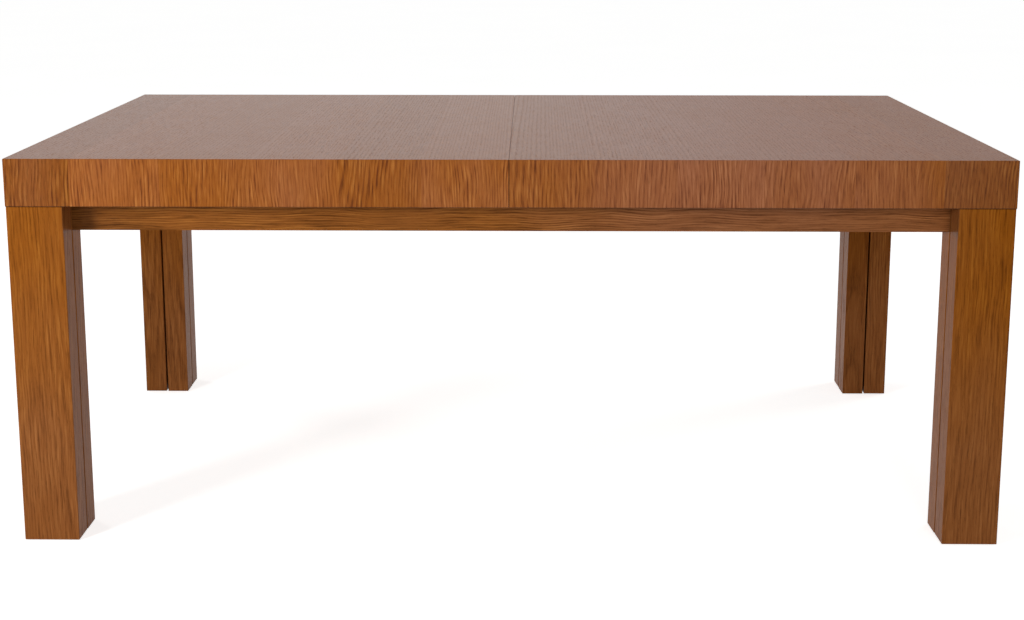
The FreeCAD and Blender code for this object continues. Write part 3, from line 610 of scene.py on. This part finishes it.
def rail_oak(name, is_long):
    """A solid rail with its grain along it.

    Painted shade darkens its ends beside the legs, and a painted shadow of the front left leg darkens
    the left end of the front rail.
    """
    surface = Surface(name)
    x, y, z = surface.position()
    along, side = (x, y) if is_long else (y, x)
    across = z - RAIL_MIDDLE.z
    seed = (side > 0) * OTHER_SIDE_SEED_STEP + (LONG_RAIL_SEED if is_long else END_RAIL_SEED)

    fade = surface.smooth(x, *RAIL_FADE_STRETCH) * RAIL_FADE
    rosiness = surface.smooth(x, *RAIL_ROSY_STRETCH) * (1 - fade) * RAIL_ROSINESS
    reach = LEG_INNER.x if is_long else LEG_INNER.y
    # Painted shade at the ends beside the legs.
    corner = surface.smooth(abs(along), reach - RAIL_CORNER_WIDTH, reach)
    # Painted shadow cast by the front left leg on the front rail.
    front_left = surface.smooth(along, *FRONT_LEFT_SHADOW_STRETCH) * (1 - (side > 0))
    darkness = corner * RAIL_CORNER_SHADE + front_left * FRONT_LEFT_SHADOW
    leaf = Leaf(surface, RAIL_OAK, RAIL_CUT, across + side * SIDE_SHIFT, along, seed)
    return oak(leaf, rosiness, darkness)


# ---------------------------------------------------------------- beech, metal and nylon

BEECH_DARK = srgb(176, 128, 88)
BEECH_PALE = srgb(206, 162, 118)
BEECH_STREAK = Grain(seed=1.0, width=3.5, length=160, strength=1.4, detail=2.0)
BEECH_PATCH = Grain(seed=3.0, width=60, length=300)
BEECH_TONES = (-0.35, 0.35)
BEECH_SLANT = 0.9
BEECH_ROUGHNESS = 0.52
BEECH_RELIEF = 0.05
FLECK = Grain(seed=2.0, width=0.5, length=2.6)
FLECK_EDGE = (0.17, 0.24)
FLECK_DARKNESS = 0.3
FLECK_ROUGHNESS = 0.1

METAL_BLOTCH = Grain(seed=4.0, width=9, length=7, strength=0.3, detail=3.0)
METAL_SCRATCH = Grain(seed=5.0, width=0.4, length=12, strength=0.15, detail=2.0)
TARNISH_RANGE = (-0.1, 0.3)
METAL_RELIEF = 0.02

NYLON_DARK = srgb(52, 36, 26)
NYLON_SCUFFED = srgb(78, 58, 44)
NYLON_SCUFF = Grain(seed=6.0, width=2.5, length=4, strength=0.3, detail=3.0)
NYLON_SPECK = Grain(seed=7.0, width=0.6, length=0.6)
SCUFF_RANGE = (0.0, 0.3)
NYLON_ROUGHNESS = 0.48
NYLON_RELIEF = 0.04


def beech(name, along_axis):
    """Pale, close hardwood with short dark flecks. The axis that the grain runs along is 0 or 1."""
    surface = Surface(name)
    place = surface.position()
    along = place[along_axis]
    across = place[1 - along_axis] + place[2] * BEECH_SLANT
    streak = surface.cloud(across, along, BEECH_STREAK)
    fleck = surface.smooth(surface.cloud(across, along, FLECK), *FLECK_EDGE)
    patch = surface.cloud(across, along, BEECH_PATCH)
    tone = surface.smooth(streak * BEECH_STREAK.strength + patch, *BEECH_TONES)
    colour = surface.blend(tone, BEECH_DARK, BEECH_PALE)
    colour = surface.shade(colour, 1 - fleck * FLECK_DARKNESS)
    roughness = BEECH_ROUGHNESS + fleck * FLECK_ROUGHNESS
    return surface.finish(colour, roughness, streak - fleck, relief=BEECH_RELIEF)


def metal(name, colour, tarnish, roughness):
    """Plated steel, with faint blotches and fine scratches."""
    surface = Surface(name)
    x, y, z = surface.position()
    blotch = surface.cloud(x + z, y - z, METAL_BLOTCH)
    scratch = surface.cloud(x, y + z, METAL_SCRATCH)
    tint = surface.blend(surface.smooth(blotch, *TARNISH_RANGE), colour, tarnish)
    uneven = roughness + blotch * METAL_BLOTCH.strength + scratch * METAL_SCRATCH.strength
    return surface.finish(tint, uneven, scratch, relief=METAL_RELIEF, Metallic=1.0)


def nylon():
    """Dark plastic of the glides, scuffed paler in patches."""
    surface = Surface("glide_nylon")
    x, y, z = surface.position()
    scuff = surface.cloud(x, y, NYLON_SCUFF)
    speck = surface.cloud(x, y + z, NYLON_SPECK)
    colour = surface.blend(surface.smooth(scuff, *SCUFF_RANGE), NYLON_DARK, NYLON_SCUFFED)
    roughness = NYLON_ROUGHNESS + scuff * NYLON_SCUFF.strength
    return surface.finish(colour, roughness, speck, relief=NYLON_RELIEF)


# The first row that holds the start of a piece's name counts, so the lock's screws are zinc.
FINISHES = {
    ("top_panel", "skirt"): case_veneer(),
    ("leg_front", "leg_rear", "inner_post"): leg_veneer(),
    ("frame_rail",): rail_oak("oak_long_rail", is_long=True),
    ("frame_end_rail",): rail_oak("oak_end_rail", is_long=False),
    ("slide_guide", "slide_runner", "leg_block", "corner_brace", "stop_pegs"): beech(
        "beech_lengthways", along_axis=0
    ),
    ("centre_bearer", "centre_batten", "alignment_pins"): beech("beech_crossways", along_axis=1),
    ("brace", "guide_screws", "panel_screws", "leg_screws", "lock_screws"): metal(
        "zinc_steel", colour=srgb(196, 194, 186), tarnish=srgb(150, 144, 128), roughness=0.34
    ),
    ("lock",): metal(
        "lock_steel", colour=srgb(176, 178, 182), tarnish=srgb(120, 122, 126), roughness=0.28
    ),
    ("leg_glides", "post_glides"): nylon(),
}


def finish_of(name):
    for prefixes, material in FINISHES.items():
        if name.startswith(prefixes):
            return material
    raise ValueError(f"{name} has no finish")


for name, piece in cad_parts.items():
    piece.data.materials.clear()
    piece.data.materials.append(finish_of(name))


# ---------------------------------------------------------------- floor and background

FLOOR_SIZE = 60
FLOOR_DARK = srgb(240, 240, 238)
FLOOR_PALE = srgb(245, 245, 243)
FLOOR_ROUGHNESS = 0.9
FLOOR_MOTTLE = Grain(seed=0.0, width=900, length=900, strength=0.05, detail=2.0)
MOTTLE_RANGE = (-0.3, 0.3)
GLOW_NEAR = 0.75
GLOW_FAR = 0.86
GLOW_STRETCH = (1500, 5000)
AMBIENT = 0.15


def is_seen(tree):
    """1 for rays that show the background: straight from the camera, mirrored or through glass."""
    path = tree.nodes.new("ShaderNodeLightPath")
    seen = path.outputs["Is Camera Ray"]
    for name in ("Is Glossy Ray", "Is Transmission Ray"):
        either = tree.nodes.new("ShaderNodeMath")
        either.operation = "MAXIMUM"
        tree.links.new(seen, either.inputs[0])
        tree.links.new(path.outputs[name], either.inputs[1])
        seen = either.outputs[0]
    return seen


def make_floor():
    """Pale floor that also glows where it is seen, so that it runs into the white background."""
    bpy.ops.mesh.primitive_plane_add(size=FLOOR_SIZE)
    floor = bpy.context.object
    floor.name = "floor"
    surface = Surface("pale_floor")
    x, y = surface.position()[:2]
    mottle = surface.cloud(x, y, FLOOR_MOTTLE)
    paint = surface.blend(surface.smooth(mottle, *MOTTLE_RANGE), FLOOR_DARK, FLOOR_PALE)
    roughness = FLOOR_ROUGHNESS + mottle * FLOOR_MOTTLE.strength
    surface.finish(paint, roughness, Specular_IOR_Level=0.0)

    from_table = surface.math("SQRT", x * x + y * y)
    lift = surface.smooth(from_table, *GLOW_STRETCH)
    seen = Field(surface, is_seen(surface.material.node_tree))
    strength = seen * surface.choose(lift, GLOW_NEAR, GLOW_FAR)
    glow = surface.add("Emission", {"Color": WHITE, "Strength": strength})
    both = surface.add("AddShader", {})
    surface.links.new(surface.shader.outputs[0], both.inputs[0])
    surface.links.new(glow.outputs[0], both.inputs[1])
    surface.links.new(both.outputs[0], surface.nodes["Material Output"].inputs["Surface"])
    floor.data.materials.append(surface.material)


def make_world():
    """White where it is seen, and a dimmer even light on the table."""
    world = bpy.data.worlds.new("studio")
    world.use_nodes = True
    tree = world.node_tree
    background = tree.nodes["Background"]
    background.inputs["Color"].default_value = WHITE
    strength = tree.nodes.new("ShaderNodeMapRange")
    strength.inputs["To Min"].default_value = AMBIENT
    strength.inputs["To Max"].default_value = 1.0
    tree.links.new(is_seen(tree), strength.inputs["Value"])
    tree.links.new(strength.outputs["Result"], background.inputs["Strength"])
    bpy.context.scene.world = world


def soft_lamp(name, place, target, size, power):
    """A round lamp that glossy surfaces don't mirror, so that it leaves no hot spot on the top."""
    lamp = bpy.data.lights.new(name, "AREA")
    lamp.shape = "DISK"
    lamp.size = size
    lamp.energy = power
    holder = bpy.data.objects.new(name, lamp)
    holder.location = place
    holder.rotation_euler = (Vector(target) - Vector(place)).to_track_quat("-Z", "Y").to_euler()
    holder.visible_glossy = False
    bpy.context.collection.objects.link(holder)


make_floor()
make_world()
soft_lamp("key", place=(-2.4, -2.4, 1.2), target=(-0.3, -0.3, 0.5), size=0.7, power=49)
soft_lamp("fill", place=(1.0, -3.0, 1.3), target=(0.3, -0.3, 0.5), size=1.1, power=18.5)
soft_lamp("overhead", place=(0, 0, 3.2), target=(0, 0, 0.7), size=1.6, power=6)
soft_lamp("rear_left", place=(-3.5, 2.0, 1.3), target=(-0.2, 0.2, 0.5), size=1.2, power=22)
soft_lamp("rear_right", place=(3.5, 2.0, 1.3), target=(0.2, 0.2, 0.5), size=1.2, power=27)


# ---------------------------------------------------------------- camera

IMAGE_WIDTH = 1024
SENSOR_WIDTH = 36
FOCAL_PIXELS = 1503
CAMERA_PLACE = (0.039, -3.173, 1.154)
PITCH_DOWN = math.radians(10.08)
YAW = math.radians(0.72)
LENS_SHIFT = -0.12

camera = bpy.data.cameras.new("camera")
camera.sensor_width = SENSOR_WIDTH
camera.lens = FOCAL_PIXELS * SENSOR_WIDTH / IMAGE_WIDTH
camera.shift_y = LENS_SHIFT
tripod = bpy.data.objects.new("camera", camera)
tripod.location = CAMERA_PLACE
tripod.rotation_euler = (math.pi / 2 - PITCH_DOWN, 0, YAW)
bpy.context.collection.objects.link(tripod)
bpy.context.scene.camera = tripod
bpy.context.scene.view_settings.view_transform = "Standard"
